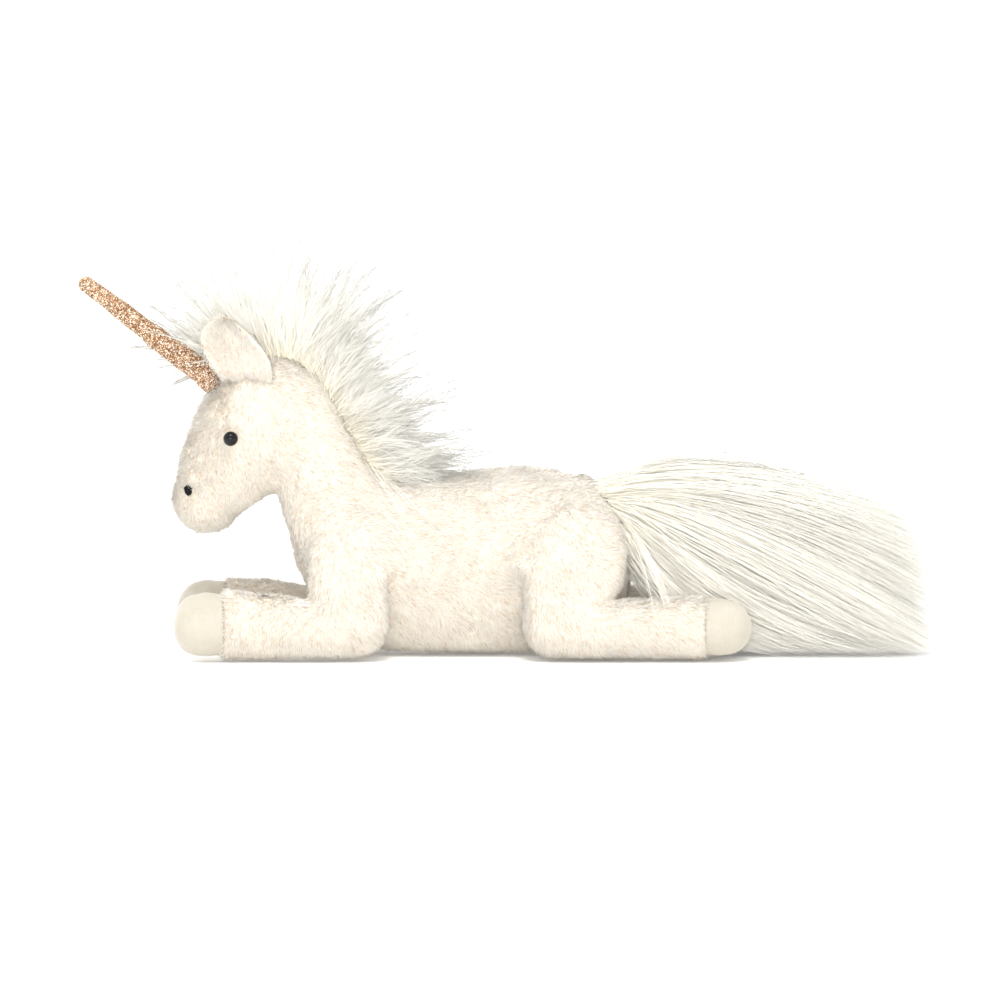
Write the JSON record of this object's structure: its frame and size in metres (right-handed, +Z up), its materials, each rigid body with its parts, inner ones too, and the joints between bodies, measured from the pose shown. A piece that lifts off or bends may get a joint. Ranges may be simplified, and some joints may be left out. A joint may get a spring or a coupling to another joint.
{
  "type": "plush unicorn",
  "caption": "Lying plush unicorn in short cream fur, with a glitter fabric horn, bead eyes, smooth hooves, and a long-haired mane and tail.",
  "frame": {"origin": "on the ground under the middle of the toy's bounding box", "axes": "X along the toy with the head at -X and the tail at +X, Y across it with its left side at -Y, Z up"},
  "size_m": [0.4231, 0.093, 0.204],
  "materials": {
    "fur": "short cream plush pile",
    "hair": "long silky pile with paler tips",
    "suede": "smooth short-nap cream fabric",
    "filling": "loose white polyester fibre",
    "woven": "plain woven backing cloth",
    "pellet": "small translucent plastic pellets",
    "bead": "polished black plastic",
    "washer": "plain white plastic lock washer",
    "thread": "black satin-stitched thread",
    "glitter": "rose-gold glitter on fabric"
  },
  "bodies": {
    "torso": {"torso_cover": "fur", "torso_stuffing": "filling", "pellet_pouch": "woven", "pouch_pellets": "pellet"},
    "neck": {"neck_cover": "fur", "neck_stuffing": "filling", "neck_mane": "hair", "neck_mane_backing": "woven"},
    "head": {"head_cover": "fur", "head_stuffing": "filling", "head_mane": "hair", "head_mane_backing": "woven", "left_eye": "bead", "right_eye": "bead", "left_eye_washer": "washer", "right_eye_washer": "washer", "left_nostril": "thread", "right_nostril": "thread"},
    "horn": {"horn_cover": "glitter", "horn_stuffing": "filling"},
    "left_ear": {"left_ear_back": "fur", "left_ear_lining": "fur"},
    "right_ear": {"right_ear_back": "fur", "right_ear_lining": "fur"},
    "left_front_leg": {"left_front_leg_cover": "fur", "left_front_hoof_cover": "suede", "left_front_leg_stuffing": "filling"},
    "right_front_leg": {"right_front_leg_cover": "fur", "right_front_hoof_cover": "suede", "right_front_leg_stuffing": "filling"},
    "left_hind_leg": {"left_hind_leg_cover": "fur", "left_hind_hoof_cover": "suede", "left_hind_leg_stuffing": "filling"},
    "right_hind_leg": {"right_hind_leg_cover": "fur", "right_hind_hoof_cover": "suede", "right_hind_leg_stuffing": "filling"},
    "dock": {"tail_dock": "woven"},
    "tail": {"tail_hair": "hair"}
  },
  "joints": [
    {"name": "neck_nod", "type": "hinge", "parent": "torso", "child": "neck", "pos_m": [-0.075, 0, 0.062], "axis": [0, 1, 0], "range_deg": [-8, 8], "stiffness_Nm_per_rad": 1.5},
    {"name": "head_nod", "type": "hinge", "parent": "neck", "child": "head", "pos_m": [-0.116, 0, 0.118], "axis": [0, 1, 0], "range_deg": [-5, 8], "stiffness_Nm_per_rad": 1},
    {"name": "horn_flex", "type": "hinge", "parent": "head", "child": "horn", "pos_m": [-0.1435, 0, 0.134], "axis": [0, 1, 0], "range_deg": [-10, 6], "stiffness_Nm_per_rad": 0.1},
    {"name": "left_ear_fold", "type": "hinge", "parent": "head", "child": "left_ear", "pos_m": [-0.1265, -0.0188, 0.1415], "axis": [0.9207, 0, 0.3903], "range_deg": [-6, 15], "stiffness_Nm_per_rad": 0.02},
    {"name": "right_ear_fold", "type": "hinge", "parent": "head", "child": "right_ear", "pos_m": [-0.1265, 0.0188, 0.1415], "axis": [0.9207, 0, 0.3903], "range_deg": [-15, 6], "stiffness_Nm_per_rad": 0.02},
    {"name": "left_shoulder", "type": "hinge", "parent": "torso", "child": "left_front_leg", "pos_m": [-0.076, -0.031, 0.042], "axis": [0, 1, 0], "range_deg": [-4, 12], "stiffness_Nm_per_rad": 1},
    {"name": "right_shoulder", "type": "hinge", "parent": "torso", "child": "right_front_leg", "pos_m": [-0.076, 0.031, 0.042], "axis": [0, 1, 0], "range_deg": [-4, 12], "stiffness_Nm_per_rad": 1},
    {"name": "left_hip", "type": "hinge", "parent": "torso", "child": "left_hind_leg", "pos_m": [0.036, -0.031, 0.044], "axis": [0, 1, 0], "range_deg": [-4, 12], "stiffness_Nm_per_rad": 1},
    {"name": "right_hip", "type": "hinge", "parent": "torso", "child": "right_hind_leg", "pos_m": [0.036, 0.031, 0.044], "axis": [0, 1, 0], "range_deg": [-4, 12], "stiffness_Nm_per_rad": 1},
    {"name": "tail_swing", "type": "hinge", "parent": "torso", "child": "dock", "pos_m": [0.058, 0, 0.08], "axis": [0, 0, 1], "range_deg": [-20, 20], "stiffness_Nm_per_rad": 0.05},
    {"name": "tail_lift", "type": "hinge", "parent": "dock", "child": "tail", "pos_m": [0.0645, 0, 0.08], "axis": [0, -1, 0], "range_deg": [0, 35]}
  ]
}
